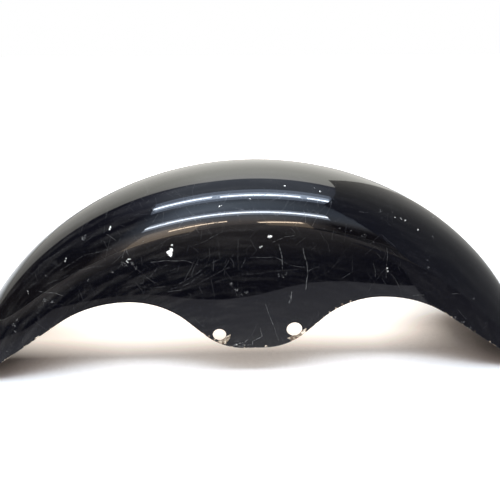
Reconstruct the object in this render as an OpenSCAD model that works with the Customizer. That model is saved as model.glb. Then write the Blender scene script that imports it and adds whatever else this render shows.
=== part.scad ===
// Front mudguard of a motorcycle: one pressed steel sheet, curved round the wheel,
// with a low tab on each side that bolts to the fork leg. It stands on its four tip corners.
// X runs along the bike, Y across it and Z up. The origin is on the floor, below the middle.

/* [Arc round the wheel] */
// Radius from the wheel axle to the outside of the crown, on the centre line
crown_r = 350; // [320:1:390]
// Angle from the top of the arc to each end of the sheet
tip_angle = 67; // [62:1:69]

/* [Section of the sheet] */
// Thickness of the sheet
sheet_t = 1.5; // [1:0.1:3]
// Width over the flat side walls
width = 130; // [112:1:145]
// Radius of the crown, seen from the front of the bike
crown_arc_r = 100; // [80:1:160]
// Radius of the shoulder that joins the crown to each side wall
shoulder_r = 50; // [35:1:54]

/* [Lower edge, seen from the side] */
// Distance from the middle of the part to the top of each arch
arch_x = 126.5; // [115:0.5:140]
// Height from the top of each arch up to the top of the crown
arch_drop = 124; // [112:1:134]
// Radius of the arch on the side of the tab
arch_inner_r = 82.5; // [70:0.5:95]
// Radius of the arch on the side of the tip
arch_outer_r = 123.5; // [105:0.5:140]
// Slope of the straight edge that runs from the arch to the tip
tip_slope = 34.7; // [33:0.1:37]
// Radius of the corner where the edge meets the end of the sheet
tip_corner_r = 12; // [4:1:16]

/* [Fork tab] */
// Height from the bottom of the tab up to the top of the crown
tab_drop = 181; // [170:1:192]
// Slope of each flank of the tab
tab_slope = 44; // [38:1:50]
// Radius of the corners at the bottom of the tab
tab_corner_r = 59.5; // [40:0.5:70]

/* [Fork bolt holes] */
// Distance of the left hole from the middle of the part
left_hole_x = 36.8; // [32:0.1:40]
// Height of the left hole above the bottom of the tab
left_hole_rise = 17; // [15:0.1:24]
// Diameter of the left hole
left_hole_d = 13.6; // [8:0.1:14]
// Distance of the right hole from the middle of the part
right_hole_x = 40.2; // [34:0.1:42]
// Height of the right hole above the bottom of the tab
right_hole_rise = 21.4; // [18:0.1:28]
// Diameter of the right hole, which is worn larger than the left one
right_hole_d = 16; // [8:0.1:16]

/* [Hidden] */

// Enamel colour
enamel = "#121316";

// A cutting shape runs this far past what it cuts
past = 10;
// Angle from one point of a rounded outline to the next
arc_step = 2;

// Heights above the wheel axle
arch_h = crown_r - arch_drop;
tab_h = crown_r - tab_drop;

// The section is drawn with the distance from the axle along x and the width along y
half_w = width / 2;
crown_centre_r = crown_r - crown_arc_r;
shoulder_y = half_w - shoulder_r;
joint_angle = asin(shoulder_y / (crown_arc_r - shoulder_r));
shoulder_centre_r = crown_centre_r + (crown_arc_r - shoulder_r) * cos(joint_angle);
// The side walls reach inwards past the bottom of the tab
wall_inner_r = tab_h - past;

// Where the flank of the tab leaves the arch, and where the tab's corner is centred
flank_x = arch_x - arch_inner_r * sin(tab_slope);
flank_h = arch_h - arch_inner_r * (1 - cos(tab_slope));
flank_foot_h = tab_h + tab_corner_r * (1 - cos(tab_slope));
flank_foot_x = flank_x - (flank_h - flank_foot_h) / tan(tab_slope);
tab_corner_x = flank_foot_x - tab_corner_r * sin(tab_slope);

// Where the straight edge leaves the arch, and its distance from the axle
edge_x = arch_x + arch_outer_r * sin(tip_slope);
edge_h = arch_h - arch_outer_r * (1 - cos(tip_slope));
edge_from_axle = edge_x * sin(tip_slope) + edge_h * cos(tip_slope);

// The tip's corner is centred one radius inside the straight edge and inside the end line
meet_angle = tip_angle - tip_slope;
tip_corner_reach = (edge_from_axle + tip_corner_r * (1 - sin(meet_angle))) / cos(meet_angle);
tip_corner_x = tip_corner_reach * sin(tip_angle) - tip_corner_r * cos(tip_angle);
tip_corner_h = tip_corner_reach * cos(tip_angle) + tip_corner_r * sin(tip_angle);

// Height above the axle of the floor that the tip corners stand on
floor_h = tip_corner_h - tip_corner_r;

// Points of an arc about [x, h], from one angle to another, either way round
function arc(x, h, r, from, to) =
    let (steps = ceil(abs(to - from) / arc_step))
    [for (i = [0:steps])
        let (angle = from + (to - from) * i / steps)
        [x + r * cos(angle), h + r * sin(angle)]];

// Outline of the section, its edge moved in by a distance
module section(inset) {
    // Crown
    intersection() {
        translate([crown_centre_r, 0])
            circle(r = crown_arc_r - inset, $fn = 180);
        translate([shoulder_centre_r, -(crown_arc_r - inset) * sin(joint_angle)])
            square([crown_arc_r, 2 * (crown_arc_r - inset) * sin(joint_angle)]);
    }
    // Shoulders
    for (side = [-1, 1])
        translate([shoulder_centre_r, side * shoulder_y])
            circle(r = shoulder_r - inset, $fn = 120);
    // Between the flat side walls
    translate([wall_inner_r - inset, inset - half_w])
        square([shoulder_centre_r - wall_inner_r + inset, width - 2 * inset]);
}

// The sheet as it leaves the press: its section swept round the wheel axle
module swept_sheet() {
    rotate([90, 0, 0])
        rotate([0, 0, 90 - tip_angle - arc_step])
            rotate_extrude(angle = 2 * (tip_angle + arc_step), $fn = 360)
                difference() {
                    section(0);
                    section(sheet_t);
                }
}

// All that lies above the lower edge from the middle to the right tip, and all to the left
module trimmed_side() {
    top = crown_r + past;
    middle_x = min(0, tab_corner_x);
    polygon(concat(
        [
            [-top, 0],
            [middle_x, 0],
            [middle_x, tab_h]
        ],
        arc(tab_corner_x, tab_h + tab_corner_r, tab_corner_r, -90, tab_slope - 90),
        arc(arch_x, arch_h - arch_inner_r, arch_inner_r, 90 + tab_slope, 90),
        arc(arch_x, arch_h - arch_outer_r, arch_outer_r, 90, 90 - tip_slope),
        arc(tip_corner_x, tip_corner_h, tip_corner_r, -90 - tip_slope, -tip_angle),
        [
            [top * sin(tip_angle), top * cos(tip_angle)],
            [top * sin(tip_angle), top],
            [-top, top]
        ]
    ));
}

// The trimmed outline as a block across the whole width
module trim_block() {
    rotate([90, 0, 0])
        linear_extrude(height = width + 2 * past, center = true)
            intersection() {
                trimmed_side();
                mirror([1, 0])
                    trimmed_side();
            }
}

// One drill run through both side walls
module bolt_hole(x, rise, d) {
    translate([x, 0, tab_h + rise])
        rotate([90, 0, 0])
            cylinder(h = width + 2 * past, d = d, center = true, $fn = 96);
}

module mudguard() {
    color(enamel)
        translate([0, 0, -floor_h])
            difference() {
                intersection() {
                    swept_sheet();
                    trim_block();
                }
                bolt_hole(-left_hole_x, left_hole_rise, left_hole_d);
                bolt_hole(right_hole_x, right_hole_rise, right_hole_d);
            }
}

mudguard();
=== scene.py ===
from math import asin, cos, pi, radians, sin, tan

import bmesh
import bpy
from mathutils import Matrix, Vector
from mathutils.bvhtree import BVHTree


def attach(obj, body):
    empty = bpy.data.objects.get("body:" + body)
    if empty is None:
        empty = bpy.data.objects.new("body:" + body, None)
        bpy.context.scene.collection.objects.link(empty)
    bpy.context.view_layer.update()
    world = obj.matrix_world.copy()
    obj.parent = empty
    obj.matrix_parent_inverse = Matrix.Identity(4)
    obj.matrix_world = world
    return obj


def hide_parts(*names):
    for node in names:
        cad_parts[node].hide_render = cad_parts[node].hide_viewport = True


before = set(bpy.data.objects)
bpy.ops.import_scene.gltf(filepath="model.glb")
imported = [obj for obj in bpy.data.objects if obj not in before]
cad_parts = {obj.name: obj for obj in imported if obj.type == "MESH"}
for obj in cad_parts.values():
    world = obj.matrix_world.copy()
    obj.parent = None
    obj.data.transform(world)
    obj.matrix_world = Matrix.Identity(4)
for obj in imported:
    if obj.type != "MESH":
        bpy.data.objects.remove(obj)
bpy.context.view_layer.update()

scene = bpy.context.scene
scene.view_settings.view_transform = "Standard"

# Camera: a phone held above the near side of the part, a little left of its middle. Its place and slant
# come from a fit to the outline of the part in the photograph.
MM = 0.001
camera_place = (-21.276 * MM, -501.724 * MM, 338.711 * MM)
camera_down = radians(23.440)
camera_turned_right = radians(2.122)
camera_roll = radians(0.266)

camera_data = bpy.data.cameras.new("camera")
camera_data.sensor_width = 36.0
camera_data.lens = 36.0
camera_data.clip_start = 0.01
camera = bpy.data.objects.new("camera", camera_data)
scene.collection.objects.link(camera)
scene.camera = camera
camera.matrix_world = (
    Matrix.Translation(camera_place)
    @ Matrix.Rotation(-camera_turned_right, 4, "Z")
    @ Matrix.Rotation(pi / 2 - camera_down, 4, "X")
    @ Matrix.Rotation(-camera_roll, 4, "Z")
)


# The mudguard: one sheet of 1.5 mm steel, rolled to the arc of the wheel and pressed to a section with a
# crown, two shoulders and two flat side walls. It was trimmed along its lower edge, drilled for the fork
# bolts and sprayed gloss black.
def add(tree, kind, links=None, **settings):
    """Adds a node. A link's value is a node (its first output), a socket, a list of them or a plain one."""
    node = tree.nodes.new(kind)
    for name, value in settings.items():
        setattr(node, name, value)
    for key, values in (links or {}).items():
        for value in values if isinstance(values, list) else [values]:
            if isinstance(value, bpy.types.Node):
                value = value.outputs[0]
            if isinstance(value, bpy.types.NodeSocket):
                tree.links.new(value, node.inputs[key])
            else:
                node.inputs[key].default_value = value
    return node


# Sizes of the sheet, as in the part's source
sheet_thickness = 1.5 * MM
crown_radius = 350 * MM
tip_angle = radians(67)
half_width = 65 * MM
crown_arc = 100 * MM
shoulder_arc = 50 * MM
arch_x = 126.5 * MM
arch_height = 226 * MM
arch_inner_arc = 82.5 * MM
arch_outer_arc = 123.5 * MM
tip_slope = radians(34.7)
tip_corner_arc = 12 * MM
tab_height = 169 * MM
tab_slope = radians(44)
tab_corner_arc = 59.5 * MM
fork_holes = [(-36.8 * MM, 186 * MM, 6.8 * MM), (40.2 * MM, 190.4 * MM, 8 * MM)]

# The section: the crown's arc meets each shoulder's arc at the joint angle
joint_angle = asin((half_width - shoulder_arc) / (crown_arc - shoulder_arc))
shoulder_start = crown_arc * joint_angle
wall_start = shoulder_start + shoulder_arc * (pi / 2 - joint_angle)
shoulder_centre = crown_radius - crown_arc + (crown_arc - shoulder_arc) * cos(joint_angle)

# The lower edge as straight lines with rounded corners, each corner with its radius
flank_corner_x = arch_x - arch_inner_arc * tan(tab_slope / 2)
tab_corner_x = flank_corner_x - (arch_height - tab_height) / tan(tab_slope)
edge_corner_x = arch_x + arch_outer_arc * tan(tip_slope / 2)
edge_reach = edge_corner_x * sin(tip_slope) + arch_height * cos(tip_slope)
tip_reach = edge_reach / cos(tip_angle - tip_slope)
end_reach = tip_reach + tip_corner_arc * tan(pi / 4 - (tip_angle - tip_slope) / 2)
corners = [
    (tab_corner_x, tab_height, tab_corner_arc),
    (flank_corner_x, arch_height, arch_inner_arc),
    (edge_corner_x, arch_height, arch_outer_arc),
    (tip_reach * sin(tip_angle), tip_reach * cos(tip_angle), tip_corner_arc),
    (end_reach * sin(tip_angle), end_reach * cos(tip_angle), 0),
]
corners = [(-x, height, arc) for x, height, arc in reversed(corners)] + corners

# The part stands on its tip corners, which puts the wheel's axle this far below the floor
tip_centre_height = end_reach * cos(tip_angle) + tip_corner_arc * sin(tip_angle)
axle_z = tip_corner_arc - tip_centre_height

trim_mesh = bpy.data.meshes.new("trim_line")
trim_mesh.from_pydata(
    [(x, height, 0) for x, height, arc in corners],
    [(i, i + 1) for i in range(len(corners) - 1)],
    [],
)
corner_arcs = trim_mesh.attributes.new("corner_arc", "FLOAT", "POINT")
corner_arcs.data.foreach_set("value", [arc for x, height, arc in corners])
mudguard = bpy.data.objects.new("mudguard_shell", trim_mesh)
scene.collection.objects.link(mudguard)

# Outside and cut edges are glossy, the underside is the same paint left dull by road dirt
enamel = bpy.data.materials.new("gloss_black_enamel")
underside = bpy.data.materials.new("dull_black_underside")

# The press and trim, as Geometry Nodes. A grid has one column for each step along the lower edge, from
# the left tip to the right one, and its rows run from that edge up to the crown. Each column becomes the
# pressed section at its angle round the axle, as far down as the edge.
press = bpy.data.node_groups.new("press_and_trim", "GeometryNodeTree")
press.interface.new_socket("Trim line", in_out="INPUT", socket_type="NodeSocketGeometry")
press.interface.new_socket("Sheet", in_out="OUTPUT", socket_type="NodeSocketGeometry")
press_sizes = {
    "Crown radius": crown_radius,
    "Crown arc": crown_arc,
    "Shoulder arc": shoulder_arc,
    "Joint angle": joint_angle,
    "Shoulder start": shoulder_start,
    "Wall start": wall_start,
    "Shoulder centre": shoulder_centre,
    "Half width": half_width,
    "Axle height": axle_z,
    "Rim ring": 0.8 * MM,
    "Patch reach": 3.5 * MM,
}
for name, value in press_sizes.items():
    socket = press.interface.new_socket(name, in_out="INPUT", socket_type="NodeSocketFloat")
    socket.default_value = value
press_counts = {"Columns": 241, "Rows": 90, "Rim points": 64}
for name, value in press_counts.items():
    socket = press.interface.new_socket(name, in_out="INPUT", socket_type="NodeSocketInt")
    socket.default_value = value
size = press.nodes.new("NodeGroupInput").outputs

# Columns: a point of the lower edge for each, its angle round the axle and its distance from it. The
# grid is one unit each way about its middle, so its places become shares by half a unit.
half_grid = 0.5
corner_steps = 24
line = add(press, "GeometryNodeMeshToCurve", {"Mesh": size["Trim line"]})
arc_of_corner = add(press, "GeometryNodeInputNamedAttribute", {"Name": "corner_arc"}, data_type="FLOAT")
edge = add(
    press, "GeometryNodeFilletCurve",
    {"Curve": line, "Radius": arc_of_corner, "Limit Radius": False, "Count": corner_steps},
    mode="POLY",
)
grid = add(
    press, "GeometryNodeMeshGrid",
    {"Size X": 1.0, "Size Y": 1.0, "Vertices X": size["Columns"], "Vertices Y": size["Rows"]},
)
place = add(press, "GeometryNodeInputPosition")
place_parts = add(press, "ShaderNodeSeparateXYZ", {0: place})
along = add(press, "ShaderNodeMath", {0: place_parts.outputs["X"], 1: half_grid}, operation="ADD")
below = add(
    press, "ShaderNodeMath", {0: half_grid, 1: place_parts.outputs["Y"]}, operation="SUBTRACT"
)
edge_point = add(
    press, "GeometryNodeSampleCurve", {"Curves": edge, "Factor": along}, mode="FACTOR", data_type="FLOAT"
)
edge_parts = add(press, "ShaderNodeSeparateXYZ", {0: edge_point.outputs["Position"]})
angle = add(
    press, "ShaderNodeMath", {0: edge_parts.outputs["X"], 1: edge_parts.outputs["Y"]}, operation="ARCTAN2"
)
edge_from_axle = add(
    press, "ShaderNodeVectorMath", {0: edge_point.outputs["Position"]}, operation="LENGTH"
).outputs["Value"]

# How far down the section the edge lies, measured over the sheet from the crown
above_shoulder = add(
    press, "ShaderNodeMath", {0: edge_from_axle, 1: size["Shoulder centre"]}, operation="SUBTRACT"
)
shoulder_share = add(
    press, "ShaderNodeMath", {0: above_shoulder, 1: size["Shoulder arc"]}, operation="DIVIDE", use_clamp=True
)
edge_lean = add(press, "ShaderNodeMath", {0: shoulder_share}, operation="ARCCOSINE")
past_joint = add(press, "ShaderNodeMath", {0: edge_lean, 1: size["Joint angle"]}, operation="SUBTRACT")
down_shoulder = add(
    press, "ShaderNodeMath",
    {0: past_joint, 1: size["Shoulder arc"], 2: size["Shoulder start"]},
    operation="MULTIPLY_ADD",
)
below_shoulder = add(press, "ShaderNodeMath", {0: above_shoulder, 1: -1.0}, operation="MULTIPLY")
down_wall = add(press, "ShaderNodeMath", {0: below_shoulder, 1: 0.0}, operation="MAXIMUM")
edge_depth = add(press, "ShaderNodeMath", {0: down_shoulder, 1: down_wall}, operation="ADD")
depth = add(press, "ShaderNodeMath", {0: edge_depth, 1: below}, operation="MULTIPLY")

# The section at that depth: along the crown's arc, then the shoulder's, then straight down the wall
on_crown = add(press, "ShaderNodeMath", {0: depth, 1: size["Shoulder start"]}, operation="MINIMUM")
crown_lean = add(press, "ShaderNodeMath", {0: on_crown, 1: size["Crown arc"]}, operation="DIVIDE")
past_crown = add(press, "ShaderNodeMath", {0: depth, 1: size["Shoulder start"]}, operation="MAXIMUM")
on_shoulder = add(press, "ShaderNodeMath", {0: past_crown, 1: size["Wall start"]}, operation="MINIMUM")
shoulder_way = add(
    press, "ShaderNodeMath", {0: on_shoulder, 1: size["Shoulder start"]}, operation="SUBTRACT"
)
shoulder_turn = add(press, "ShaderNodeMath", {0: shoulder_way, 1: size["Shoulder arc"]}, operation="DIVIDE")
shoulder_lean = add(press, "ShaderNodeMath", {0: shoulder_turn, 1: size["Joint angle"]}, operation="ADD")
past_shoulder = add(press, "ShaderNodeMath", {0: depth, 1: size["Wall start"]}, operation="SUBTRACT")
on_wall = add(press, "ShaderNodeMath", {0: past_shoulder, 1: 0.0}, operation="MAXIMUM")
across = 0.0
outwards = add(press, "ShaderNodeMath", {0: size["Crown radius"], 1: on_wall}, operation="SUBTRACT")
outwards = add(press, "ShaderNodeMath", {0: outwards, 1: size["Crown arc"]}, operation="SUBTRACT")
for lean, arc, sign in (
    (crown_lean, size["Crown arc"], 1.0),
    (shoulder_lean, size["Shoulder arc"], 1.0),
    (size["Joint angle"], size["Shoulder arc"], -1.0),
):
    signed_arc = add(press, "ShaderNodeMath", {0: arc, 1: sign}, operation="MULTIPLY")
    sine = add(press, "ShaderNodeMath", {0: lean}, operation="SINE")
    cosine = add(press, "ShaderNodeMath", {0: lean}, operation="COSINE")
    across = add(
        press, "ShaderNodeMath", {0: sine, 1: signed_arc, 2: across}, operation="MULTIPLY_ADD"
    )
    outwards = add(
        press, "ShaderNodeMath", {0: cosine, 1: signed_arc, 2: outwards}, operation="MULTIPLY_ADD"
    )

# Swept round the axle: the near half of the sheet
turn_sine = add(press, "ShaderNodeMath", {0: angle}, operation="SINE")
turn_cosine = add(press, "ShaderNodeMath", {0: angle}, operation="COSINE")
swept_x = add(press, "ShaderNodeMath", {0: outwards, 1: turn_sine}, operation="MULTIPLY")
swept_y = add(press, "ShaderNodeMath", {0: across, 1: -1.0}, operation="MULTIPLY")
swept_z = add(
    press, "ShaderNodeMath", {0: outwards, 1: turn_cosine, 2: size["Axle height"]}, operation="MULTIPLY_ADD"
)
swept = add(press, "ShaderNodeCombineXYZ", {"X": swept_x, "Y": swept_y, "Z": swept_z})
whole_half = add(press, "GeometryNodeSetPosition", {"Geometry": grid, "Position": swept})

# Each fork bolt's hole: the grid's cells round it make way for a ring of quads and a flat filling
weld_distance = 0.01 * MM
holed = whole_half
for hole_x, hole_height, hole_radius in fork_holes:
    hole_axis = Vector((hole_x, hole_height + axle_z, 0))
    flat_place = add(press, "ShaderNodeSeparateXYZ", {0: place})
    flat_place = add(
        press, "ShaderNodeCombineXYZ", {"X": flat_place.outputs["X"], "Y": flat_place.outputs["Z"]}
    )
    from_axis = add(
        press, "ShaderNodeVectorMath", {0: flat_place, 1: hole_axis}, operation="DISTANCE"
    ).outputs["Value"]
    reach = add(press, "ShaderNodeMath", {0: size["Patch reach"], 1: hole_radius}, operation="ADD")
    near_hole = add(press, "ShaderNodeMath", {0: from_axis, 1: reach}, operation="LESS_THAN")
    parts = add(
        press, "GeometryNodeSeparateGeometry", {"Geometry": holed, "Selection": near_hole}, domain="FACE"
    )
    faces_at_edge = add(press, "GeometryNodeInputMeshEdgeNeighbors")
    is_border = add(
        press, "FunctionNodeCompare", {2: faces_at_edge, 3: 1}, data_type="INT", operation="EQUAL"
    )
    patch_border = add(
        press, "GeometryNodeMeshToCurve", {"Mesh": parts.outputs["Selection"], "Selection": is_border}
    )
    flat_border = add(
        press, "GeometryNodeTransform", {"Geometry": patch_border, "Rotation": (-pi / 2, 0, 0)}
    )
    ring_radius = add(press, "ShaderNodeMath", {0: size["Rim ring"], 1: hole_radius}, operation="ADD")
    circle = add(
        press, "GeometryNodeMeshCircle",
        {"Vertices": size["Rim points"], "Radius": ring_radius},
        fill_type="NONE",
    )
    to_centre = add(press, "ShaderNodeVectorMath", {0: place}, operation="NORMALIZE")
    inward = add(press, "ShaderNodeMath", {0: size["Rim ring"], 1: -1.0}, operation="MULTIPLY")
    to_rim = add(press, "ShaderNodeVectorMath", {0: to_centre, "Scale": inward}, operation="SCALE")
    ring = add(
        press, "GeometryNodeExtrudeMesh",
        {"Mesh": circle, "Offset": to_rim, "Offset Scale": 1.0},
        mode="EDGES",
    )
    placed_ring = add(press, "GeometryNodeTransform", {"Geometry": ring, "Translation": hole_axis})
    circle_line = add(press, "GeometryNodeMeshToCurve", {"Mesh": circle})
    placed_line = add(press, "GeometryNodeTransform", {"Geometry": circle_line, "Translation": hole_axis})
    outlines = add(press, "GeometryNodeJoinGeometry", {"Geometry": [flat_border, placed_line]})
    filling = add(press, "GeometryNodeFillCurve", {"Curve": outlines}, mode="TRIANGLES")
    flat_parts = add(press, "GeometryNodeJoinGeometry", {"Geometry": [filling, placed_ring]})
    outside = add(press, "ShaderNodeMath", {0: size["Half width"], 1: -1.0}, operation="MULTIPLY")
    wall_place = add(press, "ShaderNodeCombineXYZ", {"Y": outside})
    stood_up = add(
        press, "GeometryNodeTransform",
        {"Geometry": flat_parts, "Rotation": (pi / 2, 0, 0), "Translation": wall_place},
    )
    joined = add(press, "GeometryNodeJoinGeometry", {"Geometry": [parts.outputs["Inverted"], stood_up]})
    holed = add(press, "GeometryNodeMergeByDistance", {"Geometry": joined, "Distance": weld_distance})

# The far half mirrors the near one
halves = []
for half in (holed, whole_half):
    far_half = add(press, "GeometryNodeTransform", {"Geometry": half, "Scale": (1, -1, 1)})
    both = add(press, "GeometryNodeJoinGeometry", {"Geometry": [half, far_half]})
    halves.append(add(press, "GeometryNodeMergeByDistance", {"Geometry": both, "Distance": weld_distance}))
holed_sheet, whole_sheet = halves

# Every point keeps its distance from the trimmed edge, for the wear that the finish shows there
faces_at_edge = add(press, "GeometryNodeInputMeshEdgeNeighbors")
is_border = add(press, "FunctionNodeCompare", {2: faces_at_edge, 3: 1}, data_type="INT", operation="EQUAL")
border = add(
    press, "GeometryNodeSeparateGeometry", {"Geometry": whole_sheet, "Selection": is_border}, domain="EDGE"
)
nearness = add(press, "GeometryNodeProximity", {"Target": border}, target_element="EDGES")
marked = add(
    press, "GeometryNodeStoreNamedAttribute",
    {"Geometry": holed_sheet, "Name": "from_edge", "Value": nearness.outputs["Distance"]},
    data_type="FLOAT", domain="POINT",
)
smooth = add(press, "GeometryNodeSetShadeSmooth", {"Geometry": marked})
real = add(press, "GeometryNodeRealizeInstances", {"Geometry": smooth})
finished = add(press, "GeometryNodeSetMaterial", {"Geometry": real, "Material": enamel})
result = press.nodes.new("NodeGroupOutput")
press.links.new(finished.outputs[0], result.inputs["Sheet"])

modifier = mudguard.modifiers.new("press_and_trim", "NODES")
modifier.node_group = press
press_inputs = {**press_sizes, **press_counts}
for item in press.interface.items_tree:
    if item.in_out == "INPUT" and item.name in press_inputs:
        modifier[item.identifier] = press_inputs[item.name]


def plain_mesh():
    """Gives the mudguard the mesh that its modifiers make of it, and takes the modifiers off."""
    depsgraph = bpy.context.evaluated_depsgraph_get()
    mesh = bpy.data.meshes.new_from_object(mudguard.evaluated_get(depsgraph), depsgraph=depsgraph)
    mudguard.modifiers.clear()
    mudguard.data = mesh
    return mesh


sheet_mesh = plain_mesh()

# The mirrored half and the fillings face either way until their normals are worked out as one sheet
shell = bmesh.new()
shell.from_mesh(sheet_mesh)
bmesh.ops.recalc_face_normals(shell, faces=shell.faces)
top_face = max(shell.faces, key=lambda face: face.calc_center_median().z)
if top_face.normal.z < 0:
    bmesh.ops.reverse_faces(shell, faces=shell.faces)
shell.to_mesh(sheet_mesh)
outer_surface = BVHTree.FromBMesh(shell)
shell.free()
sheet_mesh.materials.append(underside)

# The sheet's thickness, inwards, and its cut edges, a little rounded by the file and the paint
thickness = mudguard.modifiers.new("thickness", "SOLIDIFY")
thickness.thickness = sheet_thickness
thickness.offset = -1
thickness.use_even_offset = True
thickness.material_offset = 1
rounding = mudguard.modifiers.new("rounding", "BEVEL")
rounding.width = 0.3 * MM
rounding.segments = 2
rounding.limit_method = "ANGLE"
rounding.angle_limit = radians(50)
rounding.use_clamp_overlap = False
shell_mesh = plain_mesh()
shell_mesh.name = "mudguard_shell"

# The tips rest on the floor: Solidify leaves their inner corners a fraction of a millimetre too low
for vertex in shell_mesh.vertices:
    vertex.co.z = max(vertex.co.z, 0.0)


def colour(code):
    """Turns an sRGB hex code into linear red, green, blue and alpha."""
    shares = [int(code[i:i + 2], 16) / 255 for i in (1, 3, 5)]
    return (*(s / 12.92 if s <= 0.04045 else ((s + 0.055) / 1.055) ** 2.4 for s in shares), 1.0)


# Marks on the enamel are placed by the pixel of the photograph that shows them
photo_middle = 250.0
photo_focal_length = 500.0


def on_sheet(column, row):
    """The point of the outside that a pixel shows, and the direction out of the sheet there."""
    aim = Vector((column - photo_middle, photo_middle - row, -photo_focal_length))
    aim = camera.matrix_world.to_3x3() @ aim.normalized()
    return outer_surface.ray_cast(camera.matrix_world.translation, aim)[:2]


# Chips down to the white primer: pixel column and row, radius in mm. A long chip is a row of discs.
primer_chips = [
    (169.6, 252.5, 2.8), (171.4, 249.6, 1.8), (171.6, 245.2, 0.9), (170.8, 255.6, 1.5), (109.4, 229, 0.9),
    (110.5, 227, 0.9), (65.2, 261.2, 0.8), (65.9, 258.8, 0.8), (28, 291.4, 0.7), (28.1, 293.6, 0.5),
    (126.7, 260.6, 0.8), (128.5, 259.5, 0.9), (129.9, 259, 0.6), (127.6, 262.2, 0.6), (219.4, 206.3, 0.8),
    (221.4, 205.9, 0.7), (268.9, 236.8, 1.2), (270.8, 236.4, 1.1), (260.2, 247.2, 0.8), (262, 246.3, 0.8),
    (284.8, 185.8, 0.7), (314.6, 188.3, 0.5), (320, 191.5, 0.8), (250, 199, 0.5), (405, 220.2, 1),
    (401, 218.7, 0.6), (395, 216.7, 0.6), (418, 229.8, 0.8), (433, 217.2, 0.7), (387, 268.4, 0.7),
    (387.8, 271.2, 0.6), (390.8, 266.7, 0.4), (236.4, 344.8, 0.6), (244.6, 345.1, 0.5),
]
# Scuffs that dull the enamel without going through it
scuffs = [
    (83.5, 238.5, 2.4), (85.6, 235.8, 1.4), (112, 271.6, 1.7), (46.3, 275.6, 1.2), (88.4, 280, 1.5),
    (122.8, 263.6, 2.2), (126, 265, 1.6), (132.6, 264, 2), (136, 268, 1.5), (189.2, 294, 1),
    (364, 235.5, 2), (351, 230.6, 1.1), (340, 228.8, 1.2), (380.2, 211, 1.8), (433, 237.6, 1.6),
    (427.6, 260.2, 1), (428.2, 267.6, 1.1), (474, 299, 1.3), (236.6, 344.6, 1.2), (244.4, 344.9, 1),
    (52, 302, 1.6), (44.5, 300.5, 1.8), (279.4, 275.4, 1.3), (282.6, 276.6, 1.5), (286, 274, 1.3),
    (231, 284, 1.5), (246.6, 292, 1.8), (236.6, 290, 1.8), (241, 294, 1.1), (455, 318, 1.8),
    (463, 322, 1.6), (471, 328, 1.5), (14, 325, 2), (17, 320, 1.5), (15, 331, 1.5),
]
# Patches by the fork holes and along the lower edge where the paint is gone
bare_patches = [
    (221.8, 340.6, 2.4), (225, 342.8, 1.6), (214.5, 339.2, 1.3), (209, 336, 1), (294.5, 338.2, 2.6),
    (301.8, 333.4, 2.1), (291.8, 340.4, 1.5), (266, 346.2, 1.3), (245, 347.6, 0.9), (329.6, 312.4, 1),
    (336.2, 308.3, 1.2), (342.2, 305, 1.3), (350.2, 301.4, 1.3), (475, 331, 0.8), (490, 341.6, 0.8),
]
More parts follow.
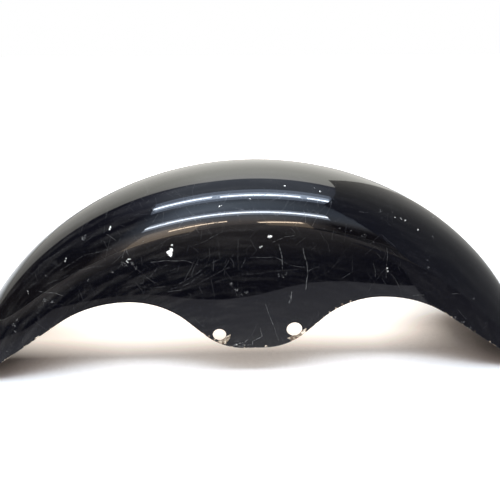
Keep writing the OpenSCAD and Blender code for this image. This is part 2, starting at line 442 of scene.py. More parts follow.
# Scratches: pixels from end to end, half width in mm and how light the scratch is
scratches = [
    ([(39, 291.3), (55, 292.7), (63, 296.3)], 0.41, 0.18),
    ([(150, 263.3), (166.7, 260.4), (183, 260), (198, 264)], 0.47, 0.16),
    ([(106.7, 234), (116.7, 240)], 0.41, 0.11),
    ([(122.5, 258), (126, 247.5), (128.5, 254.5)], 0.54, 0.11),
    ([(168, 292.5), (183, 289)], 0.59, 0.09),
    ([(177, 285), (192, 277), (206, 266), (222, 258)], 0.7, 0.06),
    ([(188, 248), (206, 240.5), (222, 232.5)], 0.35, 0.07),
    ([(130, 262), (138, 270), (155, 283)], 0.5, 0.06),
    ([(229, 284), (233, 288), (237, 295)], 0.54, 0.08),
    ([(238.5, 238), (238.9, 254), (238.2, 270)], 0.65, 0.035),
    ([(241, 267.5), (246, 258)], 0.47, 0.09),
    ([(123, 288), (143, 281.7)], 0.47, 0.09),
    ([(279, 245), (281.7, 255), (282.5, 270)], 0.54, 0.18),
    ([(303.7, 247.5), (305.8, 260), (307.5, 273), (305.8, 290)], 0.54, 0.2),
    ([(250, 258), (275, 257.5), (288, 264), (305, 267.5)], 0.41, 0.14),
    ([(307.5, 271.7), (320, 265.8)], 0.41, 0.14),
    ([(273, 241.7), (284, 236.8), (295, 235.8)], 0.41, 0.14),
    ([(291.7, 290.8), (290.6, 297), (288.4, 302.5)], 0.6, 0.5),
    ([(288.6, 295.5), (291.6, 299), (289.6, 303.5)], 0.4, 0.36),
    ([(265.8, 304), (272.4, 322), (278.3, 340.5)], 0.41, 0.21),
    ([(340, 280), (354, 271.7)], 0.41, 0.07),
    ([(373.3, 263.3), (375.3, 277.5)], 0.41, 0.09),
    ([(352.5, 256.7), (352.8, 270.8)], 0.35, 0.04),
    ([(386.7, 248), (386.2, 278)], 0.35, 0.13),
    ([(260.8, 329), (262, 336.9), (252.8, 340.6), (252.6, 345.8)], 0.47, 0.3),
    ([(232.5, 346.3), (238, 343.6), (243.5, 342.8), (247.6, 339.2)], 0.62, 0.38),
    ([(238.5, 346.2), (243.6, 346.8)], 0.6, 0.42),
    ([(246, 345.4), (252, 344.6)], 0.55, 0.32),
    ([(234.5, 341.4), (240.5, 340.6)], 0.5, 0.14),
    ([(266, 346.6), (270, 345.8)], 0.6, 0.3),
    ([(360, 212.4), (368, 212.6)], 0.35, 0.16),
    ([(413, 295.8), (424, 295)], 0.35, 0.13),
    ([(452.5, 294), (461, 294.5)], 0.35, 0.13),
    ([(150, 277), (158, 268.5), (170, 264)], 0.55, 0.06),
    ([(170, 290), (190, 283), (206, 271)], 0.75, 0.045),
    ([(198, 284), (216, 274), (236, 263)], 0.75, 0.04),
    ([(136, 284), (150, 288), (166, 287)], 0.6, 0.045),
    ([(214, 282), (240, 275), (268, 272), (300, 269)], 0.9, 0.03),
    ([(152, 250), (172, 238), (196, 231)], 0.5, 0.04),
    ([(36, 262), (60, 240), (92, 219)], 0.55, 0.04),
    ([(24, 282), (44, 262), (70, 246)], 0.6, 0.045),
    ([(60, 270), (84, 256), (112, 247)], 0.6, 0.045),
    ([(48, 284), (78, 271), (104, 265)], 0.6, 0.04),
    ([(308, 282), (330, 271), (342, 258)], 0.45, 0.04),
]

# Gloss black enamel over white primer, on a motorbike that was used for years. To the eye it is a black
# mirror with a slight ripple, dulled by hairlines and road dust, with white chips and grey scratches.
enamel.use_nodes = True
finish = enamel.node_tree
shader = finish.nodes["Principled BSDF"]
surface = add(finish, "ShaderNodeTexCoord").outputs["Object"]
surface_parts = add(finish, "ShaderNodeSeparateXYZ", {0: surface}).outputs
noise_middle = (0.5, 0.5, 0.5)


def strayed(position, wave, reach):
    """A position on the enamel, moved about by noise with waves of one size, as far as a reach."""
    noise = add(finish, "ShaderNodeTexNoise", {"Vector": position, "Scale": 1 / wave, "Detail": 2.0})
    centred = add(
        finish, "ShaderNodeVectorMath", {0: noise.outputs["Color"], 1: noise_middle}, operation="SUBTRACT"
    )
    scaled = add(finish, "ShaderNodeVectorMath", {0: centred, "Scale": 2 * reach}, operation="SCALE")
    return add(finish, "ShaderNodeVectorMath", {0: position, 1: scaled}, operation="ADD")


def spots(position, marks):
    """How far a position lies inside the nearest of some round marks, in metres."""
    deepest = -1.0
    for column, row, radius in marks:
        place = on_sheet(column, row)[0]
        away = add(finish, "ShaderNodeVectorMath", {0: position, 1: place}, operation="DISTANCE")
        inside = add(
            finish, "ShaderNodeMath", {0: radius * MM, 1: away.outputs["Value"]}, operation="SUBTRACT"
        )
        deepest = add(finish, "ShaderNodeMath", {0: inside, 1: deepest}, operation="MAXIMUM")
    return deepest


def patchy(wave, detail, low, high, at_low=0.0, at_high=1.0):
    """A value that goes from one amount to another over the enamel, in patches of about one width."""
    noise = add(finish, "ShaderNodeTexNoise", {"Vector": surface, "Scale": 1 / wave, "Detail": detail})
    return add(
        finish, "ShaderNodeMapRange",
        {"Value": noise, "From Min": low, "From Max": high, "To Min": at_low, "To Max": at_high},
    )


# A line is at its lightest in its core, which is this share of its width
line_core = 0.3


def line_along(offset, sideways, half_breadth, lightness=1.0):
    """A line where a plane cuts the enamel. The offset is from a point of it, sideways is across it."""
    aside = add(finish, "ShaderNodeVectorMath", {0: offset, 1: sideways}, operation="DOT_PRODUCT")
    off_line = add(finish, "ShaderNodeMath", {0: aside.outputs["Value"]}, operation="ABSOLUTE")
    core = line_core * half_breadth
    return add(
        finish, "ShaderNodeMapRange",
        {"Value": off_line, "From Min": half_breadth, "From Max": core, "To Max": lightness},
    )


# Chips, scuffs and bare patches are round marks whose outlines noise makes ragged
ragged = strayed(surface, 1.111 * MM, 1.7 * MM)
smeared = strayed(surface, 1.538 * MM, 3.0 * MM)
uneven = strayed(surface, 1.667 * MM, 1.6 * MM)
chipped = add(
    finish, "ShaderNodeMapRange",
    {"Value": spots(ragged, primer_chips), "From Min": 0.0, "From Max": 0.35 * MM},
)
scuff_area = add(
    finish, "ShaderNodeMapRange",
    {"Value": spots(smeared, scuffs), "From Min": -0.2 * MM, "From Max": 1.0 * MM},
)
scuff_grain = patchy(wave=1.333 * MM, detail=2, low=0.42, high=0.62)
scuffed = add(finish, "ShaderNodeMath", {0: scuff_area, 1: scuff_grain}, operation="MULTIPLY")
bare_depth = spots(uneven, bare_patches)

# Each scratch wobbles a little, fades at its ends and breaks up along its length
wavering = strayed(strayed(surface, 4.545 * MM, 0.45 * MM), 22.22 * MM, 2.4 * MM)
fade_past_end = 0.8 * MM
fade_before_end = 1.2 * MM
scratched = 0.0
for path, half_breadth, lightness in scratches:
    for start, end in zip(path, path[1:]):
        start_place, start_outward = on_sheet(*start)
        end_place, end_outward = on_sheet(*end)
        along = end_place - start_place
        sideways = along.cross(start_outward + end_outward).normalized()
        half_length = along.length / 2
        centre = (start_place + end_place) / 2
        from_centre = add(finish, "ShaderNodeVectorMath", {0: wavering, 1: centre}, operation="SUBTRACT")
        away = add(finish, "ShaderNodeVectorMath", {0: from_centre}, operation="LENGTH").outputs["Value"]
        gone = half_length + fade_past_end
        full = half_length - fade_before_end
        within = add(finish, "ShaderNodeMapRange", {"Value": away, "From Min": gone, "From Max": full})
        on_line = line_along(from_centre, sideways, half_breadth * MM, lightness)
        stroke = add(finish, "ShaderNodeMath", {0: on_line, 1: within}, operation="MULTIPLY")
        scratched = add(finish, "ShaderNodeMath", {0: stroke, 1: scratched}, operation="MAXIMUM")
unbroken = patchy(wave=2.0 * MM, detail=1, low=0.38, high=0.60, at_low=0.15, at_high=0.90)
scratched = add(finish, "ShaderNodeMath", {0: scratched, 1: unbroken}, operation="MULTIPLY")

# Hairlines: in each cell of a 3D Voronoi pattern a plane with a random tilt cuts the surface in a line.
# Real hairlines are a few hundredths of a mm wide. These are drawn wider, or they would not show.
# Each kind has the width of a cell and half that of a line in mm, the share of cells without a line, and
# how light it is.
hairline_kinds = [(27.78, 0.26, 0.60, 0.065), (14.29, 0.22, 0.45, 0.075), (7.143, 0.16, 0.40, 0.065)]
hairline_bend = 0.12
hairlines = 0.0
line_gloss_loss = 0.0
for cell, half_breadth, share_without, lightness in hairline_kinds:
    cell_width = cell * MM
    bent = strayed(surface, cell_width, hairline_bend * cell_width)
    cells = add(finish, "ShaderNodeTexVoronoi", {"Vector": bent, "Scale": 1 / cell_width})
    tilt = add(
        finish, "ShaderNodeVectorMath", {0: cells.outputs["Color"], 1: noise_middle}, operation="SUBTRACT"
    )
    tilt = add(finish, "ShaderNodeVectorMath", {0: tilt}, operation="NORMALIZE")
    in_cell = add(
        finish, "ShaderNodeVectorMath", {0: bent, 1: cells.outputs["Position"]}, operation="SUBTRACT"
    )
    line_there = line_along(in_cell, tilt, half_breadth * MM)
    chance = add(finish, "ShaderNodeSeparateXYZ", {0: cells.outputs["Color"]})
    chosen = add(
        finish, "ShaderNodeMapRange",
        {"Value": chance.outputs["X"], "From Min": share_without, "From Max": 1.0, "To Max": lightness},
    )
    stroke = add(finish, "ShaderNodeMath", {0: line_there, 1: chosen}, operation="MULTIPLY")
    hairlines = add(finish, "ShaderNodeMath", {0: stroke, 1: hairlines}, operation="MAXIMUM")
    line_gloss_loss = add(
        finish, "ShaderNodeMath", {0: line_there, 1: line_gloss_loss}, operation="MAXIMUM"
    )
rubbed = patchy(wave=71.43 * MM, detail=3, low=0.38, high=0.58, at_low=0.15)
hairlines = add(finish, "ShaderNodeMath", {0: hairlines, 1: rubbed}, operation="MULTIPLY")

# Specks of dust and tiny chips: about one cell in four has a speck, a twentieth of the cell's size at most
speck_cell = 9.091 * MM
specks = add(finish, "ShaderNodeTexVoronoi", {"Vector": surface, "Scale": 1 / speck_cell})
chance = add(finish, "ShaderNodeSeparateXYZ", {0: specks.outputs["Color"]})
speck_size = add(
    finish, "ShaderNodeMapRange",
    {"Value": chance.outputs["Y"], "From Min": 0.72, "From Max": 1.0, "To Max": 0.055},
)
in_speck = add(
    finish, "ShaderNodeMath", {0: speck_size, 1: specks.outputs["Distance"]}, operation="SUBTRACT"
)
speckled = add(finish, "ShaderNodeMapRange", {"Value": in_speck, "From Max": 0.03, "To Max": 0.30})

# Wear along the trimmed edge, most at the tips: the paint has flaked off in small bites
edge_distance = add(finish, "ShaderNodeAttribute", attribute_name="from_edge").outputs["Fac"]
from_middle = add(finish, "ShaderNodeMath", {0: surface_parts["X"]}, operation="ABSOLUTE")
bites = patchy(wave=4.545 * MM, detail=3, low=0.50, high=0.75, at_low=-0.4 * MM, at_high=1.5 * MM)
more_at_tips = add(
    finish, "ShaderNodeMapRange",
    {"Value": from_middle, "From Min": 0.22, "From Max": 0.31, "To Max": 0.7 * MM},
)
bite_depth = add(finish, "ShaderNodeMath", {0: bites, 1: more_at_tips}, operation="ADD")
in_bite = add(finish, "ShaderNodeMath", {0: bite_depth, 1: edge_distance}, operation="SUBTRACT")
flaked = add(finish, "ShaderNodeMapRange", {"Value": in_bite, "From Min": -0.1 * MM, "From Max": 0.2 * MM})

# A washer has rubbed the paint off on the lower right of each fork hole, out to the edge of the tab
washer_reach = 4.6 * MM
washer_clear = 6.3 * MM
washer_lean = 0.6
for hole_x, hole_height, hole_radius in fork_holes:
    hole_place = Vector((hole_x, 0, hole_height + axle_z))
    flat_place = add(finish, "ShaderNodeCombineXYZ", {"X": surface_parts["X"], "Z": surface_parts["Z"]})
    wavy_place = strayed(flat_place, 2.857 * MM, 1.3 * MM)
    away = add(finish, "ShaderNodeVectorMath", {0: wavy_place, 1: hole_place}, operation="DISTANCE")
    under_washer = add(
        finish, "ShaderNodeMath",
        {0: hole_radius + washer_reach, 1: away.outputs["Value"]},
        operation="SUBTRACT",
    )
    to_right = add(
        finish, "ShaderNodeMath", {0: surface_parts["X"], 1: hole_place.x}, operation="SUBTRACT"
    )
    down = add(finish, "ShaderNodeMath", {0: hole_place.z, 1: surface_parts["Z"]}, operation="SUBTRACT")
    down_right = add(
        finish, "ShaderNodeMath", {0: to_right, 1: washer_lean, 2: down}, operation="MULTIPLY_ADD"
    )
    past_hole = add(finish, "ShaderNodeMath", {0: down_right, 1: washer_clear}, operation="SUBTRACT")
    worn = add(finish, "ShaderNodeMath", {0: under_washer, 1: past_hole}, operation="MINIMUM")
    bare_depth = add(finish, "ShaderNodeMath", {0: worn, 1: bare_depth}, operation="MAXIMUM")
worn_through = add(
    finish, "ShaderNodeMapRange", {"Value": bare_depth, "From Min": -0.2 * MM, "From Max": 0.3 * MM}
)
bare = add(finish, "ShaderNodeMath", {0: flaked, 1: worn_through}, operation="MAXIMUM")

# Road film on the black, in the streaks that a rag left along the arc round the axle, most at the left
streak_length = 58.33 * MM
streak_breadth = 5.882 * MM
above_axle = add(finish, "ShaderNodeMath", {0: surface_parts["Z"], 1: axle_z}, operation="SUBTRACT")
round_axle = add(finish, "ShaderNodeMath", {0: surface_parts["X"], 1: above_axle}, operation="ARCTAN2")
wheel_plane = add(finish, "ShaderNodeCombineXYZ", {"X": surface_parts["X"], "Z": above_axle})
from_axle = add(finish, "ShaderNodeVectorMath", {0: wheel_plane}, operation="LENGTH").outputs["Value"]
wiped_place = add(
    finish, "ShaderNodeCombineXYZ", {"X": round_axle, "Y": surface_parts["Y"], "Z": from_axle}
)
along_arc = add(
    finish, "ShaderNodeMapping",
    {"Vector": wiped_place, "Scale": (crown_radius / streak_length, 1 / streak_breadth, 1 / streak_breadth)},
)
streaks = add(
    finish, "ShaderNodeTexNoise", {"Vector": along_arc, "Scale": 1.0, "Detail": 4.0, "Roughness": 0.6}
)
thickest = add(finish, "ShaderNodeMapRange", {"Value": streaks, "From Min": 0.47, "From Max": 0.78})
most_at_left = add(
    finish, "ShaderNodeMapRange",
    {"Value": surface_parts["X"], "From Min": -0.10, "From Max": 0.04, "To Min": 1.0, "To Max": 0.30},
)
film = add(finish, "ShaderNodeMath", {0: thickest, 1: most_at_left}, operation="MULTIPLY")

# Colours: the film on the black, then the marks over it, the deepest last. A Mix node takes its two
# colours at these inputs and gives the mixed one at this output.
mix_from = 6
mix_to = 7
mixed = 2
scuff_lightness = 0.28
faint_scuffs = add(finish, "ShaderNodeMath", {0: scuffed, 1: scuff_lightness}, operation="MULTIPLY")
light_marks = scratched
for marks in (hairlines, speckled, faint_scuffs):
    light_marks = add(finish, "ShaderNodeMath", {0: light_marks, 1: marks}, operation="MAXIMUM")
rust_width = 3.030 * MM
rust = add(finish, "ShaderNodeTexNoise", {"Vector": surface, "Scale": 1 / rust_width, "Detail": 3.0})
bare_metal = add(finish, "ShaderNodeValToRGB", {0: rust})
bare_stops = bare_metal.color_ramp.elements
bare_stops[0].position = 0.36
bare_stops[0].color = colour("#4A3526")
bare_stops[1].position = 0.64
bare_stops[1].color = colour("#E0CFBB")
bare_stops.new(0.50).color = colour("#8A7C68")
coat = colour("#040406")
for share, tint in (
    (film, colour("#242322")),
    (light_marks, colour("#A9A8A6")),
    (chipped, colour("#F1EFE8")),
    (bare, bare_metal),
):
    coat = add(
        finish, "ShaderNodeMix", {"Factor": share, mix_from: coat, mix_to: tint}, data_type="RGBA"
    ).outputs[mixed]
finish.links.new(coat, shader.inputs["Base Color"])

# Gloss: the enamel is a mirror, film and hairlines dull it, primer and bare metal are matt
matt = add(finish, "ShaderNodeMath", {0: chipped, 1: bare}, operation="MAXIMUM")
roughness = add(
    finish, "ShaderNodeMapRange",
    {"Value": streaks, "From Min": 0.40, "From Max": 0.80, "To Min": 0.012, "To Max": 0.055},
)
for marks, roughening in ((line_gloss_loss, 0.14), (light_marks, 0.5), (matt, 0.55)):
    roughness = add(
        finish, "ShaderNodeMath", {0: marks, 1: roughening, 2: roughness}, operation="MULTIPLY_ADD"
    )
finish.links.new(roughness.outputs[0], shader.inputs["Roughness"])

# Relief: the shallow dents of a used sheet, orange peel in the paint, and the depth of each chip
dent_width = 90.91 * MM
peel_width = 4.762 * MM
dents = add(finish, "ShaderNodeTexNoise", {"Vector": surface, "Scale": 1 / dent_width, "Detail": 1.0})
peel = add(finish, "ShaderNodeTexNoise", {"Vector": surface, "Scale": 1 / peel_width, "Detail": 2.0})
paint_there = add(finish, "ShaderNodeMath", {0: 1.0, 1: matt}, operation="SUBTRACT")
relief = add(finish, "ShaderNodeBump", {"Height": dents, "Strength": 1.0, "Distance": 0.16 * MM})
for height, strength, depth in ((peel, 1.0, 0.006 * MM), (paint_there, 0.6, 0.10 * MM)):
    relief = add(
        finish, "ShaderNodeBump",
        {"Height": height, "Strength": strength, "Distance": depth, "Normal": relief},
    )
finish.links.new(relief.outputs[0], shader.inputs["Normal"])

# Underside: thin black paint under grey-brown road dirt. It gives the eye no mirror, only a dull sheen.
underside.use_nodes = True
dirt = underside.node_tree
dull = dirt.nodes["Principled BSDF"]
dirt_patch_width = 28.57 * MM
grit_width = 1.429 * MM
inner = add(dirt, "ShaderNodeTexCoord").outputs["Object"]
caked = add(
    dirt, "ShaderNodeTexNoise",
    {"Vector": inner, "Scale": 1 / dirt_patch_width, "Detail": 6.0, "Roughness": 0.6},
)
grit = add(dirt, "ShaderNodeTexNoise", {"Vector": inner, "Scale": 1 / grit_width, "Detail": 2.0})
dirt_share = add(dirt, "ShaderNodeMapRange", {"Value": caked, "From Min": 0.42, "From Max": 0.70})
dirt_colour = add(
    dirt, "ShaderNodeMix",
    {"Factor": dirt_share, mix_from: colour("#131314"), mix_to: colour("#3F3A34")},
    data_type="RGBA",
).outputs[mixed]
dirt.links.new(dirt_colour, dull.inputs["Base Color"])
dirt_roughness = add(
    dirt, "ShaderNodeMapRange",
    {"Value": caked, "From Min": 0.35, "From Max": 0.65, "To Min": 0.35, "To Max": 0.75},
)
dirt.links.new(dirt_roughness.outputs[0], dull.inputs["Roughness"])
grit_relief = add(dirt, "ShaderNodeBump", {"Height": grit, "Strength": 0.5, "Distance": 0.08 * MM})
dirt.links.new(grit_relief.outputs[0], dull.inputs["Normal"])

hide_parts("mudguard")
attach(mudguard, "root")


# Table: a sheet of white paper under the part. Its colour carries painted shade, a warm brown below the
# arch.
# To the camera it glows a little, more and more with distance, so that it runs into the white paper behind
# without a line. That glow is also painted light, stronger behind the part.
def glow_ramp(tree, value, stops):
    """A smooth row of colours: each stop is a value and the linear red, green and blue there."""
    low = stops[0][0]
    high = stops[-1][0]
    share = add(tree, "ShaderNodeMapRange", {"Value": value, "From Min": low, "From Max": high})
    ramp = add(tree, "ShaderNodeValToRGB", {0: share})
    elements = ramp.color_ramp.elements
    for element, stop in ((elements[0], stops[0]), (elements[1], stops[-1])):
        element.color = (*stop[1], 1)
    for at, tint in stops[1:-1]:
        elements.new((at - low) / (high - low)).color = (*tint, 1)
    return ramp


floor_reach = 8.0
floor_mesh = bpy.data.meshes.new("floor")
floor_mesh.from_pydata(
    [(x * floor_reach, y * floor_reach, 0) for x, y in ((-1, -1), (1, -1), (1, 1), (-1, 1))],
    [],
    [(0, 1, 2, 3)],
)
floor = bpy.data.objects.new("floor", floor_mesh)
scene.collection.objects.link(floor)
paper = bpy.data.materials.new("white_paper")
paper.use_nodes = True
table = paper.node_tree
paper_shader = table.nodes["Principled BSDF"]
paper_shader.inputs["Roughness"].default_value = 0.9
paper_shader.inputs["Specular IOR Level"].default_value = 0.1
shade_reach = 0.25
# Painted shade: ambient occlusion darkens the paper's colour to a warm brown under the arch and a dark brown
# near the tips
openness = add(table, "ShaderNodeAmbientOcclusion", {"Distance": shade_reach}, samples=16).outputs["AO"]
deep_shade = (0.08, colour("#3F3530")[:3])
half_shade = (0.34, colour("#AD9B90")[:3])
open_paper = (0.60, colour("#F9F7F3")[:3])
paper_colour_with_painted_shade = glow_ramp(table, openness, [deep_shade, half_shade, open_paper])
table.links.new(paper_colour_with_painted_shade.outputs["Color"], paper_shader.inputs["Base Color"])
table_place = add(table, "ShaderNodeTexCoord").outputs["Object"]
table_parts = add(table, "ShaderNodeSeparateXYZ", {0: table_place}).outputs
from_middle = add(table, "ShaderNodeVectorMath", {0: table_place}, operation="LENGTH").outputs["Value"]
# The glow that the camera sees runs into the white paper far off. It is also painted light: stronger behind
# the part and weaker near the tips and at the right, which leaves painted shade there.
far_lift = add(
    table, "ShaderNodeMapRange", {"Value": from_middle, "From Min": 0.40, "From Max": 1.4, "To Max": 0.90}
)
painted_light_behind = add(
    table, "ShaderNodeMapRange",
    {"Value": table_parts["Y"], "From Min": -0.02, "From Max": 0.02, "To Max": 0.85},
)
sideways = add(table, "ShaderNodeMath", {0: table_parts["X"]}, operation="ABSOLUTE")
painted_shade_at_tips = add(
    table, "ShaderNodeMapRange",
    {"Value": sideways, "From Min": 0.15, "From Max": 0.27, "To Min": 0.26, "To Max": 0.02},
)
painted_shade_at_right = add(
    table, "ShaderNodeMapRange",
    {"Value": table_parts["X"], "From Min": 0.15, "From Max": 0.25, "To Min": 1.0, "To Max": 0.05},
)
painted_glow = add(
    table, "ShaderNodeMath",
    {0: painted_light_behind, 1: painted_shade_at_right, 2: painted_shade_at_tips},
    operation="MULTIPLY_ADD",
)
painted_glow = add(table, "ShaderNodeMath", {0: painted_glow, 1: far_lift}, operation="ADD")
to_camera = add(table, "ShaderNodeLightPath").outputs["Is Camera Ray"]
seen_painted_glow = add(table, "ShaderNodeMath", {0: painted_glow, 1: to_camera}, operation="MULTIPLY")
table.links.new(seen_painted_glow.outputs[0], paper_shader.inputs["Emission Strength"])
paper_shader.inputs["Emission Color"].default_value = colour("#FFF3E6")
floor_mesh.materials.append(paper)


# Cards: the near wall mirrors the paper just in front of the photograph's frame, the paper's front edge
# and the dark floor beyond. The real wall bends a little and mirrors that edge as a wave. The model's wall
# is flat, so the edge itself is wavy here. At the right the paper and the floor are darker.
def card(name, card_corners, glow_direction, stops):
    """A flat card that only reflections see, with a glow that changes along one direction."""
    mesh = bpy.data.meshes.new(name)
    mesh.from_pydata(card_corners, [], [tuple(range(len(card_corners)))])
    board = bpy.data.objects.new(name, mesh)
    scene.collection.objects.link(board)
    for ray in ("camera", "diffuse", "transmission", "volume_scatter", "shadow"):
        setattr(board, "visible_" + ray, False)
    glow = bpy.data.materials.new(name)
    glow.use_nodes = True
    tree = glow.node_tree
    tree.nodes.clear()
    card_place = add(tree, "ShaderNodeTexCoord").outputs["Object"]
    position = add(
        tree, "ShaderNodeVectorMath", {0: card_place, 1: glow_direction}, operation="DOT_PRODUCT"
    ).outputs["Value"]
    light = add(tree, "ShaderNodeEmission", {"Color": glow_ramp(tree, position, stops), "Strength": 1.0})
    add(tree, "ShaderNodeOutputMaterial", {"Surface": light})
    mesh.materials.append(glow)


# Each card lies at a height of its own, so that no two of them meet in one plane
straight_back = (0.0, 1.0, 0.0)
paper_edge_y = -0.241
paper_edge_slope_right = -0.105
paper_edge_wave = 0.017
paper_edge_wave_length = 0.28
paper_edge_wave_middle = -0.03
paper_edge_steps = 60
paper_half_length = 0.90
paper_back = -0.075
paper_card_z = 0.4 * MM
paper_outline = []
for step in range(paper_edge_steps + 1):
    x = paper_half_length * (2 * step / paper_edge_steps - 1)
    wave = 1 - cos(2 * pi * (x - paper_edge_wave_middle) / paper_edge_wave_length)
    y = paper_edge_y + paper_edge_slope_right * x - paper_edge_wave * wave
    paper_outline.append((x, y, paper_card_z))
paper_outline.append((paper_half_length, paper_back, paper_card_z))
paper_outline.append((-paper_half_length, paper_back, paper_card_z))
card(
    "shaded_front_of_paper",
    paper_outline,
    glow_direction=(0.30, 1.0, 0.0),
    stops=[
        (-0.30, (0.36, 0.35, 0.38)), (-0.235, (0.53, 0.54, 0.62)), (-0.17, (0.64, 0.65, 0.73)),
        (-0.09, (1.0, 1.0, 1.05)),
    ],
)


def flat_card(name, left, right, front, back, z, stops):
    """A card that lies on the table, with its glow from its front to its back."""
    outline = [(left, front, z), (right, front, z), (right, back, z), (left, back, z)]
    card(name, outline, straight_back, stops)


room_left = -4.0
room_right = 4.0
room_floor_front = -5.0
room_floor_back = -0.15
flat_card(
    "dark_room_floor", room_left, room_right, room_floor_front, room_floor_back, z=0.2 * MM,
    stops=[
        (room_floor_front, (0.64, 0.58, 0.56)), (-1.45, (0.64, 0.58, 0.56)), (-0.80, (0.45, 0.42, 0.42)),
        (-0.54, (0.32, 0.30, 0.29)), (-0.44, (0.24, 0.22, 0.22)), (-0.37, (0.06, 0.06, 0.09)),
        (room_floor_back, (0.02, 0.02, 0.05)),
    ],
)
right_floor_left = 0.47
right_floor_back = -0.80
flat_card(
    "dark_room_floor_at_right", right_floor_left, room_right, room_floor_front, right_floor_back,
    z=0.6 * MM,
    stops=[(room_floor_front, (0.16, 0.15, 0.16)), (right_floor_back, (0.16, 0.15, 0.16))],
)
shaded_left = 0.240
shaded_right = 0.50
shaded_front = -0.60
shaded_back = -0.085
flat_card(
    "shaded_paper_at_right", shaded_left, shaded_right, shaded_front, shaded_back, z=3 * MM,
    stops=[(shaded_front, (0.10, 0.10, 0.14)), (shaded_back, (0.22, 0.22, 0.27))],
)

# Panel: a grey board stands to the right of the part and hides half of the room there
panel_x = 0.50
panel_front = -0.72
panel_top_front = -0.66
panel_back = 0.68
panel_front_height = 1.02
panel_back_height = 0.93
card(
    "grey_panel",
    [
        (panel_x, panel_front, 0), (panel_x, panel_back, 0), (panel_x, panel_back, panel_back_height),
        (panel_x, panel_top_front, panel_front_height),
    ],
    straight_back,
    stops=[
        (panel_front, (0.12, 0.13, 0.20)), (-0.25, (0.20, 0.21, 0.26)), (0.18, (0.46, 0.46, 0.45)),
        (panel_back, (0.60, 0.58, 0.54)),
    ],
)


# Lamps: two rows of cool tubes under the ceiling, in front of the part, a warm strip low down, and two
# soft boxes behind and above. The tubes draw the thin bright lines along the near shoulder.
def lamp(name, lamp_place, length, breadth, tint, strength):
    """A flat lamp that glows at a given strength and faces the top of the part."""
    data = bpy.data.lights.new(name, "AREA")
    data.shape = "RECTANGLE"
    data.size = length
    data.size_y = breadth
    data.color = colour(tint)[:3]
    data.energy = strength * pi * length * breadth
    source = bpy.data.objects.new(name, data)
    scene.collection.objects.link(source)
    source.location = lamp_place
    aim = Vector((lamp_place[0], 0, crown_radius + axle_z))
    source.rotation_euler = (aim - source.location).to_track_quat("-Z", "Y").to_euler()
    source.visible_camera = False
    return source


# Each has a name, a place, a length and a breadth in metres, a colour and its glow, where white is 1
ceiling_and_wall = [
    ("near_tube_left", (-0.93, -0.92, 2.30), 0.92, 0.12, "#E8F3FF", 34),
    ("near_tube_middle", (0.19, -0.99, 2.30), 1.10, 0.12, "#E8F3FF", 34),
    ("near_tube_right", (1.04, -1.04, 2.30), 0.40, 0.12, "#E8F3FF", 34),
    ("near_housing", (-0.08, -0.95, 2.31), 2.56, 0.40, "#D6E8FF", 6.5),
    ("near_ceiling", (-0.08, -0.90, 2.33), 2.66, 0.95, "#CFE2FF", 2.6),
    ("far_tube", (-0.25, -4.40, 2.30), 4.30, 0.24, "#EDF5FF", 28),
    ("far_tube_housing", (-0.25, -4.45, 2.30), 4.30, 0.85, "#DCEAFF", 4.5),
    ("warm_wall_left", (-0.84, -2.80, 0.30), 0.80, 0.95, "#FFE3C0", 2.0),
    ("warm_wall_right", (0.48, -2.95, 0.18), 0.45, 0.70, "#FFDFB8", 1.6),
]
for lamp_sizes in ceiling_and_wall:
    lamp(*lamp_sizes)

# The two parts of the warm strip, each with its slope in degrees
warm_strips = [
    ("warm_strip_left", (-0.53, -3.00, 0.58), 0.70, 0.10, "#FFE6C8", 22, 4.9),
    ("warm_strip_right", (0.42, -3.00, 0.40), 0.52, 0.10, "#FFE6C8", 22, 20.0),
]
for *lamp_sizes, slope in warm_strips:
    strip = lamp(*lamp_sizes)
    strip.rotation_euler.rotate_axis("Z", radians(slope))

# The soft boxes light the paper and the part, and the enamel doesn't mirror them
soft_boxes = [
    ("back_box", (0.0, 0.90, 1.60), 1.60, 1.00, "#FFFFFF", 2.2),
    ("top_box", (0.0, 0.1, 2.20), 1.60, 1.00, "#FFFFFF", 1.9),
]
for lamp_sizes in soft_boxes:
    soft_box = lamp(*lamp_sizes)
    soft_box.visible_glossy = False

# Room: white paper behind the part, which the camera sees and the enamel mirrors, brighter overhead. In
# front of it are a pale ceiling, a warm strip of wall at eye level and darkness to the left.
world = bpy.data.worlds.new("room")
scene.world = world
world.use_nodes = True
room = world.node_tree
room.nodes.clear()
way = add(room, "ShaderNodeTexCoord").outputs["Generated"]
way_parts = add(room, "ShaderNodeSeparateXYZ", {0: way}).outputs
up = add(room, "ShaderNodeMath", {0: way_parts["Z"], 1: 0.0}, operation="MAXIMUM")

# The paper's edge lies straight to the side at the floor, further back with height and to the left
paper_edge_slope = 0.40
left_slope = 0.30
left_start = 0.20
past_left = add(room, "ShaderNodeMath", {0: up, 1: left_start, 2: way_parts["X"]}, operation="MULTIPLY_ADD")
past_left = add(room, "ShaderNodeMath", {0: past_left, 1: 0.0}, operation="MINIMUM")
paper_side = add(
    room, "ShaderNodeMath", {0: up, 1: -paper_edge_slope, 2: way_parts["Y"]}, operation="MULTIPLY_ADD"
)
paper_side = add(
    room, "ShaderNodeMath", {0: past_left, 1: left_slope, 2: paper_side}, operation="MULTIPLY_ADD"
)
paper_share = add(room, "ShaderNodeMapRange", {"Value": paper_side, "From Min": -0.02, "From Max": 0.02})

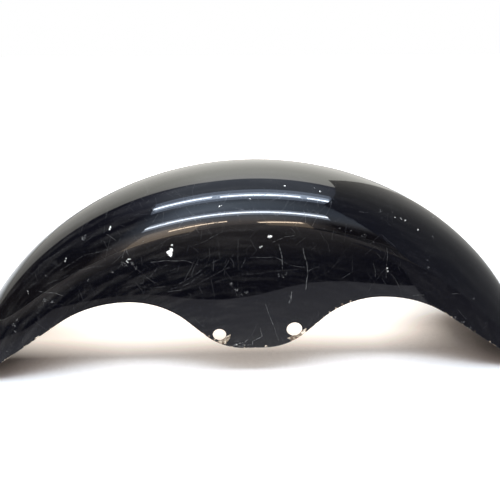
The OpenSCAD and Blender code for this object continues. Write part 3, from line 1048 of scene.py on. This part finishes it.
# The stops are heights of the direction, from -1 straight down to 1 overhead. White is 1.
paper_glow = glow_ramp(
    room, way_parts["Z"],
    [
        (0.0, (1.38, 1.36, 1.27)), (0.31, (1.95, 1.93, 1.80)), (0.48, (2.25, 2.22, 2.05)),
        (0.62, (2.4, 2.4, 2.2)), (0.81, (3.3, 3.3, 3.1)), (0.91, (4.1, 4.1, 4.0)),
    ],
)
left_dimming = add(
    room, "ShaderNodeMapRange",
    {"Value": way_parts["X"], "From Min": -0.75, "From Max": -0.20, "To Min": 0.50, "To Max": 1.0},
)
paper_glow = add(room, "ShaderNodeVectorMath", {0: paper_glow, "Scale": left_dimming}, operation="SCALE")
front_glow = glow_ramp(
    room, way_parts["Z"],
    [
        (-0.35, (0.10, 0.10, 0.16)), (-0.22, (0.45, 0.42, 0.42)), (-0.05, (0.95, 0.85, 0.80)),
        (0.10, (1.7, 1.50, 1.40)), (0.25, (1.9, 1.9, 2.0)), (0.36, (1.6, 1.8, 2.1)),
        (0.55, (1.5, 1.8, 2.3)), (0.75, (1.8, 2.2, 2.7)), (0.98, (1.0, 1.15, 1.4)),
    ],
)
side_glow = glow_ramp(
    room, way_parts["Z"],
    [
        (-0.3, (0.03, 0.03, 0.05)), (0.1, (0.07, 0.055, 0.05)), (0.4, (0.05, 0.05, 0.07)),
        (0.70, (0.08, 0.08, 0.13)), (0.83, (0.35, 0.37, 0.50)), (0.92, (0.9, 1.0, 1.2)),
    ],
)
room_shares = {}
for name, axis, none_at, all_at in (
    ("front", "Y", -0.35, -0.75),
    ("not left", "X", -0.56, -0.30),
    ("right", "X", 0.20, 0.33),
    ("near floor", "Z", 0.34, 0.18),
):
    room_shares[name] = add(
        room, "ShaderNodeMapRange", {"Value": way_parts[axis], "From Min": none_at, "From Max": all_at}
    )
low_right = add(
    room, "ShaderNodeMath", {0: room_shares["right"], 1: room_shares["near floor"]}, operation="MULTIPLY"
)
not_low_right = add(room, "ShaderNodeMath", {0: 1.0, 1: low_right}, operation="SUBTRACT")
front_share = room_shares["front"]
for share in (room_shares["not left"], not_low_right):
    front_share = add(room, "ShaderNodeMath", {0: front_share, 1: share}, operation="MULTIPLY")
right_dimming = add(
    room, "ShaderNodeMapRange",
    {"Value": way_parts["X"], "From Min": -0.20, "From Max": 0.35, "To Min": 1.10, "To Max": 0.50},
)
front_glow = add(room, "ShaderNodeVectorMath", {0: front_glow, "Scale": right_dimming}, operation="SCALE")
front_room = add(
    room, "ShaderNodeMix", {"Factor": front_share, mix_from: side_glow, mix_to: front_glow}, data_type="RGBA"
).outputs[mixed]
mirrored = add(
    room, "ShaderNodeMix", {"Factor": paper_share, mix_from: front_room, mix_to: paper_glow},
    data_type="RGBA",
).outputs[mixed]

# The camera sees plain white, the enamel mirrors the room, and all else is lit evenly
rays = add(room, "ShaderNodeLightPath").outputs
even_light = colour("#AAA8A4")
white = colour("#FFFFFF")
plain = add(
    room, "ShaderNodeMix",
    {"Factor": rays["Is Camera Ray"], mix_from: even_light, mix_to: white},
    data_type="RGBA",
).outputs[mixed]
seen = add(
    room, "ShaderNodeMix", {"Factor": rays["Is Glossy Ray"], mix_from: plain, mix_to: mirrored},
    data_type="RGBA",
).outputs[mixed]
backdrop = add(room, "ShaderNodeBackground", {"Color": seen, "Strength": 1.0})
add(room, "ShaderNodeOutputWorld", {"Surface": backdrop})
